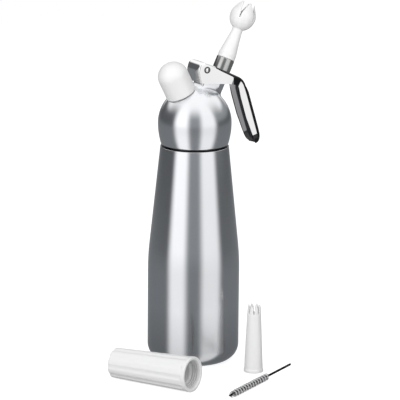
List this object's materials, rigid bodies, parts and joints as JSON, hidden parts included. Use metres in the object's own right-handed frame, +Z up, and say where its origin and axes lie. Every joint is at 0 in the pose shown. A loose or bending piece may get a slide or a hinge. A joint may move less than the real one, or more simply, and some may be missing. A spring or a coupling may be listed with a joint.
{
  "type": "whipped cream dispenser",
  "caption": "Gas-charged whipped cream dispenser: aluminium bottle and domed head with squeeze lever, tulip nozzle, capped gas inlet, and a charger holder, spare nozzle and brush.",
  "frame": {"origin": "centre of the bottle's base", "axes": "+Z up along the bottle; +X towards the lever's handle; the loose pieces lie towards -Y"},
  "size_m": [0.1628, 0.1654, 0.3154],
  "materials": {
    "bottle_metal": "brushed",
    "head_metal": "satin",
    "lever_chrome": "mirror",
    "steel": "machined",
    "white_plastic": "satin",
    "bush_plastic": "matte",
    "seal_rubber": "matte",
    "gasket_rubber": "matte",
    "brush_steel": "dark",
    "bristle_plastic": "matte"
  },
  "bodies": {
    "bottle": {"bottle": "bottle_metal"},
    "head": {"head": "head_metal", "head_gasket": "gasket_rubber", "guide_bush": "bush_plastic", "inlet_nipple": "steel", "nipple_washer": "seal_rubber", "piercing_pin": "steel", "charger_seal": "seal_rubber", "check_plug": "steel", "check_spring": "steel", "valve_spring": "steel"},
    "lever": {"lever": "lever_chrome", "lever_pin": "steel"},
    "stem": {"valve_stem": "steel", "stem_o_rings": "seal_rubber", "valve_seal": "seal_rubber", "valve_nut": "steel", "thrust_ring": "steel", "nozzle_collar": "lever_chrome"},
    "nozzle": {"tulip_nozzle": "white_plastic"},
    "cap": {"inlet_cap": "white_plastic"},
    "ball": {"check_ball": "steel"},
    "holder": {"charger_holder": "white_plastic"},
    "spare": {"spare_nozzle": "white_plastic"},
    "brush": {"brush_wire": "brush_steel", "brush_bristles": "bristle_plastic"}
  },
  "joints": [
    {"name": "head_lift", "type": "slide", "parent": "bottle", "child": "head", "axis": [0, 0, 1], "range_m": [0, 0.03]},
    {"name": "lever_hinge", "type": "hinge", "parent": "head", "child": "lever", "pos_m": [0.00575, 0, 0.25933], "axis": [0, 1, 0], "range_deg": [0, 9], "stiffness_Nm_per_rad": 1.5, "springref_deg": -7.45},
    {"name": "stem_slide", "type": "slide", "parent": "head", "child": "stem", "axis": [-0.4226, 0, -0.9063], "range_m": [0, 0.0039], "deforming": ["valve_spring"]},
    {"name": "nozzle_off", "type": "slide", "parent": "stem", "child": "nozzle", "axis": [0.4226, 0, 0.9063], "range_m": [0, 0.03]},
    {"name": "cap_off", "type": "slide", "parent": "head", "child": "cap", "axis": [-0.454, 0, 0.891], "range_m": [0, 0.03]},
    {"name": "ball_slide", "type": "slide", "parent": "head", "child": "ball", "axis": [0.454, 0, -0.891], "range_m": [0, 0.001], "stiffness_N_per_m": 20, "springref_m": -0.001, "deforming": ["check_spring"]},
    {"name": "holder_lift", "type": "slide", "parent": "bottle", "child": "holder", "axis": [0, 0, 1], "range_m": [0, 0.1]},
    {"name": "spare_lift", "type": "slide", "parent": "bottle", "child": "spare", "axis": [0, 0, 1], "range_m": [0, 0.1]},
    {"name": "brush_lift", "type": "slide", "parent": "bottle", "child": "brush", "axis": [0, 0, 1], "range_m": [0, 0.1]}
  ],
  "couplings": [
    {"joint": "stem_slide", "follows": "lever_hinge", "m_per_rad": 0.024}
  ]
}
